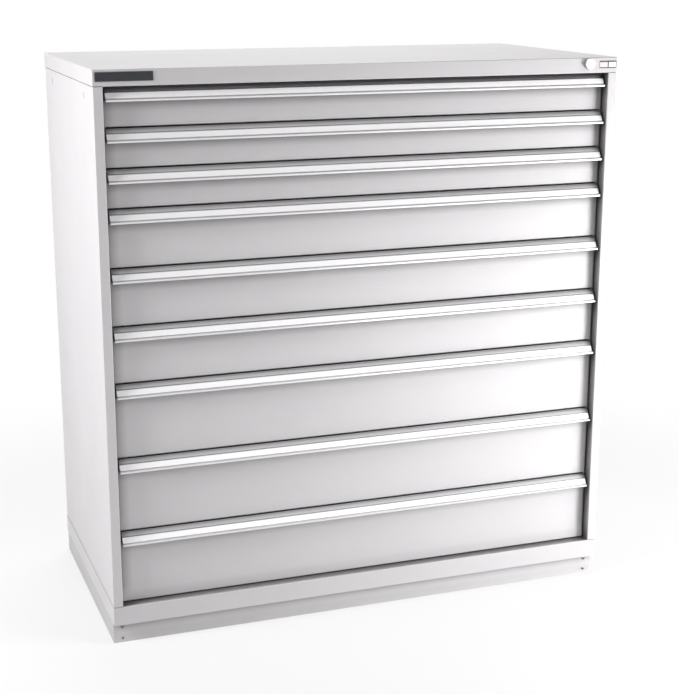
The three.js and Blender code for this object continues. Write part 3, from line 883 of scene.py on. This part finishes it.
def makeBase():
    # the base frame gets the darker copy of the paint, its painted shade
    keptNode(
        "baseFrame", "base_frame", baseValues["frameRound"], "root", shadedFramePaint, "white_paint",
    )
    makeBaseCover()
    first = makeScrew("baseScrew_left_lower", screwNames[0])
    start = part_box(screwNames[0])[0]
    for node in screwNames:
        name, move = node.replace("base_screw", "baseScrew"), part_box(node)[0] - start
        screw = first if node == screwNames[0] else copyOf(first, name, move)
        at = centreOf(node)
        placed(screw, "root", [dullSteel, socketShade], "zinc_steel", node)
        # painted shade: the socket round the cross recess gets the dark copy
        paintFaces(screw, 1, lambda face: (
            math.hypot(face.center.x - at.x, face.center.z - at.z) < baseValues["socket"]
        ))


makeBase()
print("base done")


# Slides

carriageValues = {
    "plate": 3 * mm,
    "windowSize": (120 * mm, 12 * mm),
    "rollerRadius": 14.7 * mm,
    "rollerWidth": 12 * mm,
    "rollerRound": 0.8 * mm,
    # width and rise of each step from the tread to the axle's riveted end, in mm
    "rollerSteps": [(3.2, 0), (0.5, -1.6), (3.4, 0), (0.4, 1.2), (1.6, -0.4)],
    "endInset": 20 * mm,
    "middleInset": 32 * mm,
    "cutRound": 0.3 * mm,
    "frameRound": 0.3 * mm,
}


def makeRoller(name, at, outwards):
    # wheel with a hub and a riveted axle; at is its foot on the plate, outwards is 1 or -1
    v = carriageValues
    end = Vector(at) + Vector((outwards * v["rollerWidth"], 0, 0))
    wheel = addCylinder(name, v["rollerRadius"], at, end, 36)
    pickFaces(wheel, lambda face: abs(face.normal.x) > 0.9)
    bevelPicked(v["rollerRound"], 2)
    pick(wheel, "faces", lambda face: face.normal.x * outwards > 0.9 and len(face.verts) > 8)
    insetBy((width * mm, rise * mm) for width, rise in v["rollerSteps"])
    return smoothed(wheel, 35)


def makeCarriage(name, node):
    v = carriageValues
    low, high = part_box(node)
    plateIn = low.x + v["rollerWidth"]
    plateOut = plateIn + v["plate"]
    middle = centreOf(node)
    half = (high.z - low.z) / 2
    plate = roundEnded(
        "plate", (plateIn, low.y, low.z), (plateOut, high.y, high.z), half * 0.99, 10,
    )
    quarter = (high.y - low.y) / 4
    for offset in (-quarter, quarter):
        at = Vector((plateIn, middle.y + offset, middle.z))
        cut(plate, slotCutter(at, v["windowSize"]))
    roundEdges(plate, v["cutRound"])
    smoothed(plate)
    ends = (high.y - low.y) / 2 - v["endInset"]
    rollers = []
    for offset in (v["middleInset"], ends):
        for outwards, x in ((1, plateOut - overlap), (-1, plateIn + overlap)):
            at = (x, middle.y + outwards * offset, middle.z)
            rollers.append(makeRoller("roller", at, outwards))
    wheels = joined("wheels", *rollers)
    wheels.data.materials.append(nylon)
    plate.data.materials.append(zinc)
    return joined(name, plate, wheels)


def makeSlides():
    for side in sides:
        name, node = f"runnerFrame_{side}", f"runner_frame_{side}"
        keptNode(name, node, carriageValues["frameRound"], "root", zinc, "zinc_steel")
    right = makeCarriage("carriage_right_1_slide", "carriage_right_1")
    left = mirroredCopy(right, "carriage_left_1_slide")
    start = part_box("carriage_right_1")[0]
    for side, first in (("right", right), ("left", left)):
        for number in drawerNumbers:
            node = f"carriage_{side}_{number}"
            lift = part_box(node)[0].z - start.z
            piece = first if number == 1 else copyOf(first, node + "_slide", (0, 0, lift))
            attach(piece, node)
            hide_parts(node)


makeSlides()
print("slides done")


# Drawers

thinValues = {"sheet": 1.5 * mm, "foldSteps": 3, "cutRound": 0.25 * mm}
frontValues = {
    **thinValues,
    "fold": 2 * mm,
    "hem": 8 * mm,
    "flange": 12 * mm,
    "lowerGap": 1.5 * mm,
    "railGap": 2.5 * mm,
}
troughValues = {
    **thinValues,
    "fold": 1.8 * mm,
    "hem": 6 * mm,
    "floorLift": 4 * mm,
    "wallDrop": 16 * mm,
    "wallHalf": 649.15 * mm,
}
runnerValues = {
    **thinValues,
    "sheet": 2 * mm,
    "fold": 2.2 * mm,
    "tip": 662.45 * mm,
    "web": 649.2 * mm,
    "half": 17 * mm,
    "lift": 22 * mm,
}
catchValues = {
    "depth": 40 * mm,
    "sheet": 3 * mm,
    "drop": 40 * mm,
    "height": 16 * mm,
    "reach": 680.25 * mm,
    "round": 0.6 * mm,
}


def makeDrawerFront(name, low, high):
    v = frontValues
    top = (high.x, low.y + v["hem"], high.z)
    front = openBox(name, low, top, Vector((0, 1, 0)))
    pick(front, "edges", lambda edge: edge.is_boundary and runsAlong(edge, 0))
    extrudeBy((0, v["flange"] - v["hem"], 0))
    return sheeted(front, v)


def makeTrough(name, slotBottom, slotTop, front, back):
    # floor and side walls in one sheet, and a rear wall with its own hem
    v = troughValues
    half, hem = v["wallHalf"], v["hem"]
    floor, top = slotBottom + v["floorLift"], slotTop - v["wallDrop"]
    path = [
        (half - hem, front, top), (half, front, top), (half, front, floor),
        (-half, front, floor), (-half, front, top), (hem - half, front, top),
    ]
    walls = foldedStrip(name, path, (0, back - front, 0), (0, 0, 1), v)
    inner = half - v["sheet"]
    path = [
        (-inner, back - hem, top), (-inner, back, top), (-inner, back, floor + v["sheet"]),
    ]
    rear = foldedStrip("rearWall", path, (2 * inner, 0, 0), (0, 0, 1), v)
    return joined(name, walls, rear)


def makeDrawerRunner(name, slotBottom, front, back):
    v = runnerValues
    middle, half = slotBottom + v["lift"], v["half"]
    tip, web = v["tip"], v["web"]
    path = [
        (tip, front, middle + half), (web, front, middle + half),
        (web, front, middle - half), (tip, front, middle - half),
    ]
    return foldedStrip(name, path, (0, back - front, 0), (0, 0, 1), v)


def makeCatch(name, slotTop):
    v = catchValues
    depth = frontFace + v["depth"]
    middle, half = slotTop - v["drop"], v["height"] / 2
    inner = troughValues["wallHalf"] - troughValues["sheet"]
    plate = addCube(
        name, (inner, depth, middle - half),
        (v["reach"], depth + v["sheet"], middle + half),
    )
    roundEdges(plate, v["round"])
    return smoothed(plate)


gripValues = {
    "wall": 2 * mm,
    "hook": 9 * mm,
    "plateHeight": 34 * mm,
    "edge": 1 * mm,
    "shoulderBulge": (5 * mm, 3 * mm),
    "shoulder": (9.2 * mm, 10 * mm),
    "shoulderSteps": 8,
    "grooveWidth": 1.2 * mm,
    "grooveDepth": 1 * mm,
    "labelSlope": 0.5,
    "labelHeight": 15 * mm,
    "lipRise": 1.6 * mm,
    "lipReach": 23 * mm,
    "lipHeight": 4.6 * mm,
    "lipRound": 1.2 * mm,
    "edgeRound": 0.25 * mm,
    "strip": 0.5 * mm,
    "stripHead": 1.5 * mm,
    "stripGap": 0.4 * mm,
    "stripEnd": 1 * mm,
}


def curvePoints(start, control, end, steps):
    points = []
    for step in range(steps + 1):
        t = step / steps
        points.append([
            (1 - t) ** 2 * start[i] + 2 * t * (1 - t) * control[i] + t * t * end[i]
            for i in range(2)
        ])
    return points


# Outlines are pairs: reach in front of the front panel, and drop below the rail's upper edge

def labelEnds():
    v = gripValues
    slope, groove = v["labelSlope"], v["grooveWidth"]
    reach, drop = v["shoulder"][0] + slope * groove, v["shoulder"][1] + groove
    return (reach, drop), (reach + slope * v["labelHeight"], drop + v["labelHeight"])


def stripHead():
    # where the pale insert starts, below the groove
    start, end = [Vector(point) for point in labelEnds()]
    return tuple(start + (end - start).normalized() * gripValues["stripHead"])


def gripOutline():
    v = gripValues
    wall, groove, deep, hook = v["wall"], v["grooveWidth"], v["grooveDepth"], v["hook"]
    shoulderReach, shoulderDrop = v["shoulder"]
    (labelReach, labelDrop), (footReach, footDrop) = labelEnds()
    grooveFoot = footDrop + groove
    lipTop = grooveFoot + v["lipRise"]
    lowest, lip, turn = lipTop + v["lipHeight"], v["lipReach"], v["lipRound"]
    rounding = [
        (lip - turn * (1 - math.cos(angle)), lowest - turn * (1 - math.sin(angle)))
        for angle in [step * math.pi / 8 for step in range(5)]
    ]
    bulge = curvePoints((0, v["edge"]), v["shoulderBulge"], v["shoulder"], v["shoulderSteps"])
    return [
        (-hook, 0), (0, 0), *bulge, (shoulderReach - deep, shoulderDrop),
        (labelReach - deep, labelDrop), (labelReach, labelDrop), stripHead(),
        (footReach, footDrop), (footReach - deep, footDrop), (footReach - deep, grooveFoot),
        (footReach, grooveFoot), (lip, lipTop), *rounding, (lip - wall, lowest),
        (lip - wall, lipTop + v["lipRise"]), (footReach - wall, grooveFoot),
        (labelReach - wall, labelDrop + wall), (wall, shoulderDrop), (wall, v["plateHeight"]),
        (0, v["plateHeight"]), (0, wall), (-hook, wall),
    ]


def stripOutline():
    # pale insert that lies on the label face
    v = gripValues
    start, end = Vector(stripHead()), Vector(labelEnds()[1])
    along = (end - start).normalized()
    out = Vector((along.y, -along.x)) * v["strip"]
    end -= along * v["stripGap"]
    return [start, start + out, end + out, end]


def makeExtrusion(name, node, outline, endInset, rounding):
    low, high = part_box(node)
    plate = low.y + gripValues["lipReach"]
    points = [(low.x + endInset, plate - reach, high.z - drop) for reach, drop in outline]
    piece = barOutline(name, points, (high.x - low.x - 2 * endInset, 0, 0))
    roundEdges(piece, rounding, 2, 30)
    return smoothed(piece, 30)


def makeDrawers():
    parts = ("drawerFront", "drawerTray", "drawerRunnerRight", "drawerRunnerLeft", "drawerCatch")
    firstOfHeight = {}
    for number in drawerNumbers:
        node = f"drawer_{number}"
        low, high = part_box(node)
        slotBottom = low.z - frontValues["lowerGap"]
        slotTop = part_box(f"grip_rail_{number}")[1].z + frontValues["railGap"]
        size = round((slotTop - slotBottom) / mm)
        names = [f"{part}_{number}" for part in parts]
        if size in firstOfHeight:
            start, models = firstOfHeight[size]
            lift = (0, 0, slotBottom - start)
            pieces = [copyOf(model, name, lift) for model, name in zip(models, names)]
        else:
            front = low.y + frontValues["sheet"]
            runner = makeDrawerRunner(names[2], slotBottom, front, high.y)
            pieces = [
                makeDrawerFront(names[0], low, high),
                makeTrough(names[1], slotBottom, slotTop, front, high.y),
                runner,
                mirroredCopy(runner, names[3]),
                makeCatch(names[4], slotTop),
            ]
            firstOfHeight[size] = slotBottom, pieces
        # the lowest front's paint keeps painted shade off its foot above the pan
        frontPaint = lowPaint if number == 9 else paint
        for piece, material in zip(pieces, (frontPaint, paint, zinc, zinc, zinc)):
            slotName = "zinc_steel" if material is zinc else "white_paint"
            placed(piece, node, [material], slotName, node)


def makeGripRails():
    v, node = gripValues, "grip_rail_1"
    rail = makeExtrusion("gripRail_1", node, gripOutline(), 0, v["edgeRound"])
    strip = makeExtrusion("labelStrip_1", node, stripOutline(), v["stripEnd"], v["strip"] / 4)
    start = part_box(node)[0]
    finishes = [anodised, shoulderPaintedShade, railEndShade]
    for number in drawerNumbers:
        node, body = f"grip_rail_{number}", f"drawer_{number}"
        low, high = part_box(node)
        lift = (0, 0, low.z - start.z)
        railCopy = rail if number == 1 else copyOf(rail, f"gripRail_{number}", lift)
        stripCopy = strip if number == 1 else copyOf(strip, f"labelStrip_{number}", lift)
        placed(railCopy, body, finishes, "anodised_aluminium", node)
        shoulderFoot = high.z - stripHead()[1]
        hollow = low.y + v["lipReach"] - 2 * v["wall"]
        # painted shade: the shoulder and the plate's face inside the hollow get the darker copy
        # of the anodised finish
        paintFaces(railCopy, 1, lambda face: (
            face.center.z > shoulderFoot or face.center.y > hollow and face.normal.y < -0.9
        ))
        # painted shade: the rail's ends and its faces turned back into the hollow get the near
        # black copy
        paintFaces(railCopy, 2, lambda face: abs(face.normal.x) > 0.9 or face.normal.y > 0.3)
        placed(stripCopy, body, [labelStock], "pale_label", node)


makeDrawers()
makeGripRails()
print("drawers done")


# Lock

lockValues = {
    "rim": 1.6 * mm,
    "rimStep": 0.8 * mm,
    "shank": 9.5 * mm,
    "bore": 6.3 * mm,
    "seatInset": 0.3 * mm,
    "plugRound": 0.5 * mm,
    "plugSteps": [(0.9 * mm, 0), (0.2 * mm, -0.3 * mm)],
    "plugEnd": 3.3 * mm,
    "keySize": (1.6 * mm, 8 * mm),
    "keyDepth": 3.5 * mm,
    "tangWidth": 7 * mm,
    "tangLength": 3.6 * mm,
    "tangRound": 0.3 * mm,
    "nutRound": 0.4 * mm,
    "barRound": 0.3 * mm,
}


def makeBarrel():
    v = lockValues
    low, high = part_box("lock_barrel")
    at, radius = centreOf("lock_barrel"), (high.x - low.x) / 2
    seat, rim, bore = frontFace - v["seatInset"], v["rim"], v["bore"]
    face = low.y + v["rimStep"]
    profile = [
        (bore, high.y), (bore, face), (radius - 2 * rim, face), (radius - 1.6 * rim, low.y),
        (radius - 0.7 * rim, low.y), (radius - 0.25 * rim, low.y + 0.3 * rim),
        (radius, low.y + rim), (radius, seat - mm), (radius, seat),
        (v["shank"], seat), (v["shank"], high.y), (bore, high.y),
    ]
    barrel = startPath("lockBarrel", [(at.x + r, y, at.z) for r, y in profile])
    selectAll()
    bpy.ops.mesh.spin(steps=64, angle=2 * math.pi, center=(at.x, 0, at.z), axis=(0, 1, 0))
    selectAll()
    bpy.ops.mesh.remove_doubles(threshold=0.01 * mm)
    bpy.ops.mesh.normals_make_consistent(inside=False)
    doneEditing()
    placed(smoothed(barrel, 35), "root", [chrome], "lock_chrome", "lock_barrel")


def makePlug():
    v = lockValues
    low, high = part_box("lock_plug")
    at, radius = centreOf("lock_plug"), (high.x - low.x) / 2
    end = high.y - v["plugEnd"]
    body = barAlongY("lockPlug", radius, at, end, low.y, 48)
    pickFaces(body, lambda face: abs(face.normal.y) > 0.9)
    bevelPicked(v["plugRound"], 3)
    pick(body, "faces", lambda face: face.normal.y < -0.9 and len(face.verts) > 8)
    insetBy(v["plugSteps"])
    wide, tall = v["keySize"][0] / 2, v["keySize"][1] / 2
    cut(body, addCube(
        "cutter", (at.x - wide, low.y - mm, at.z - tall),
        (at.x + wide, low.y + v["keyDepth"], at.z + tall),
    ))
    half, start = v["tangWidth"] / 2, high.y - v["tangLength"]
    tang = addCube("tang", (at.x - half, start, at.z - half), (at.x + half, high.y, at.z + half))
    roundEdges(tang, v["tangRound"])
    plug = smoothed(joined("lockPlug", body, tang), 35)
    placed(plug, "lock_key_plug", [chrome], "lock_chrome", "lock_plug")


def makeLock():
    makeBarrel()
    makePlug()
    nutRound, barRound = lockValues["nutRound"], lockValues["barRound"]
    keptNode("lockNut", "lock_nut", nutRound, "root", zinc, "zinc_steel")
    keptNode("lockCrank", "lock_crank", barRound, "lock_key_plug", zinc, "zinc_steel")
    keptNode("lockBar", "lock_bar", barRound, "lock_bar", zinc, "zinc_steel")


makeLock()
print("lock done")


# Plates on the header

plateValues = {
    "badgeRim": 2.2 * mm,
    "badgeLine": 0.7 * mm,
    "badgeRise": 0.25 * mm,
    "badgeFlank": 0.1 * mm,
    "labelTopLine": 3 * mm,
    "labelFootLine": 2.2 * mm,
    "labelDivider": 3.2 * mm,
    "labelEndLine": 1.6 * mm,
    "labelDepth": 0.1 * mm,
}


def makeBadge():
    # bare dark plate with a raised line round its field
    v = plateValues
    low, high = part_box("badge_plate")
    badge = addCube("badgePlate", low, high)
    pickFaces(badge, lambda face: face.normal.y < -0.9)
    rise, flank = v["badgeRise"], v["badgeFlank"]
    insetBy([(v["badgeRim"], 0), (flank, rise), (v["badgeLine"], 0), (flank, -rise)])
    placed(smoothed(badge, 30), "root", [badgeDark], "dark_plate", "badge_plate")


def makeLabel():
    # bare two-field label with dark lines above, below, between the fields and at one end
    v = plateValues
    low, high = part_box("lock_label")
    middle, half = centreOf("lock_label").x, v["labelDivider"] / 2
    top, foot = high.z - v["labelTopLine"], low.z + v["labelFootLine"]
    end = high.x - v["labelEndLine"]
    label = addCube("lockLabel", low, high)
    editing(label, "FACE")
    for x in (middle - half, middle + half, end):
        selectAll()
        bpy.ops.mesh.bisect(plane_co=(x, 0, 0), plane_no=(1, 0, 0))
    for z in (top, foot):
        selectAll()
        bpy.ops.mesh.bisect(plane_co=(0, 0, z), plane_no=(0, 0, 1))

    def isField(face, at):
        isInside = foot < at.z < top and half < abs(at.x - middle) and at.x < end
        return isInside and face.normal.y < -0.9

    pick(label, "faces", lambda face: isField(face, face.calc_center_median()))
    bpy.ops.mesh.inset(thickness=v["labelDepth"], depth=-v["labelDepth"], use_individual=True)
    doneEditing()
    placed(label, "root", [labelBorder, labelPink, labelWhite], "pale_label", "lock_label")
    paintFaces(label, 1, lambda face: isField(face, face.center) and face.center.x < middle)
    paintFaces(label, 2, lambda face: isField(face, face.center) and face.center.x > middle)


makeBadge()
makeLabel()
print("plates done")


# Floor, light and camera

stageValues = {
    "floorHalf": 40,
    "floorColor": (0.8, 0.8, 0.8),
    "shadowShare": 0.3,
    "shadowReach": (0.9, 2.2),
    "worldStrength": 0,
}
cabinetMiddle = (0, -0.36, 0.8)
# place, target, size and power of each lamp
lampValues = {
    "lowKey": ((2.2, -1.2, 0.55), cabinetMiddle, (0.5, 0.8), 14),
    "lowFront": ((1.9, -1.7, 0.6), cabinetMiddle, (0.5, 0.8), 42),
    "nearFront": ((0.75, -1.5, 0.5), (0.2, -0.36, 0.7), (0.5, 0.6), 4),
    "highKey": ((3.0, -1.9, 2.4), (0, -0.36, 1.0), (0.8, 0.8), 32),
    "highFront": ((1.2, -1.8, 4.2), (0, -0.36, 1.0), (1.0, 0.8), 28),
    "sideLamp": ((-2.8, -0.7, 1.8), (-0.72, -0.2, 1.3), (0.8, 1.2), 82),
    "topLamp": ((0.2, 1.4, 3.6), (0, 0.2, 1.5), (2.0, 1.2), 63),
    "backLamp": ((0.6, 4.2, 0.8), (0, 0.37, 0.8), (2.2, 1.0), 60),
}


def isCameraOrGloss(tree):
    path = addNode(tree, "LightPath").outputs
    seen = reckoned(tree, "MAXIMUM", path["Is Camera Ray"], path["Is Glossy Ray"])
    return reckoned(tree, "MAXIMUM", seen, path["Is Transmission Ray"])


def mixToSurface(tree, share, first, second, output):
    mix = addNode(tree, "MixShader")
    joinUp(
        tree, (share, mix.inputs[0]), (first.outputs[0], mix.inputs[1]),
        (second.outputs[0], mix.inputs[2]),
        (mix.outputs[0], tree.nodes[output].inputs["Surface"]),
    )


def makeFloor():
    # its shadow shows beside the cabinet and fades to plain white further out
    v = stageValues
    deselectAll()
    bpy.ops.mesh.primitive_plane_add(size=2 * v["floorHalf"], location=(0, 0, -0.5 * mm))
    floor = named("floor")
    material, tree, shader = newMaterial(
        "paleFloor", v["floorColor"], Roughness=0.9, Specular_IOR_Level=0.1,
    )
    away = addNode(tree, "VectorMath", operation="LENGTH")
    joinUp(tree, (placeOn(tree), away.inputs[0]))
    near, far = v["shadowReach"]
    fade = addNode(
        tree, "MapRange", interpolation_type="SMOOTHSTEP", Value=away.outputs["Value"],
        From_Min=near, From_Max=far, To_Min=1 - v["shadowShare"],
    )
    share = reckoned(tree, "MULTIPLY", isCameraOrGloss(tree), fade.outputs[0])
    white = addNode(tree, "Emission", Strength=1.0)
    mixToSurface(tree, share, shader, white, "Material Output")
    floor.data.materials.append(material)


def makeWorld():
    world = bpy.data.worlds.new("softWhite")
    bpy.context.scene.world = world
    world.use_nodes = True
    tree = world.node_tree
    light = tree.nodes["Background"]
    light.inputs["Color"].default_value = (1, 1, 1, 1)
    light.inputs["Strength"].default_value = stageValues["worldStrength"]
    white = addNode(tree, "Background", Color=(1, 1, 1), Strength=1.0)
    mixToSurface(tree, isCameraOrGloss(tree), light, white, "World Output")


def hung(name, data, place, turn):
    holder = bpy.data.objects.new(name, data)
    holder.location = place
    holder.rotation_euler = turn
    bpy.context.scene.collection.objects.link(holder)
    return holder


def makeLights():
    for name, (place, target, size, power) in lampValues.items():
        lamp = bpy.data.lights.new(name, "AREA")
        lamp.shape = "RECTANGLE"
        lamp.size, lamp.size_y = size
        lamp.energy = power
        direction = Vector(target) - Vector(place)
        hung(name, lamp, place, direction.to_track_quat("-Z", "Y").to_euler())


cameraValues = {
    "place": (-1.3721, -3.9419, 1.7646), "pitch": -14.66, "heading": -19.73, "lens": 76.65,
}


def makeCamera():
    v = cameraValues
    data = bpy.data.cameras.new("camera")
    data.lens = v["lens"]
    data.sensor_width = 36
    turn = (math.radians(90 + v["pitch"]), 0, math.radians(v["heading"]))
    bpy.context.scene.camera = hung("camera", data, v["place"], turn)


makeFloor()
makeWorld()
makeLights()
makeCamera()
bpy.context.scene.view_settings.view_transform = "Standard"
deselectAll()
print("stage done")

bpy.context.view_layer.update()
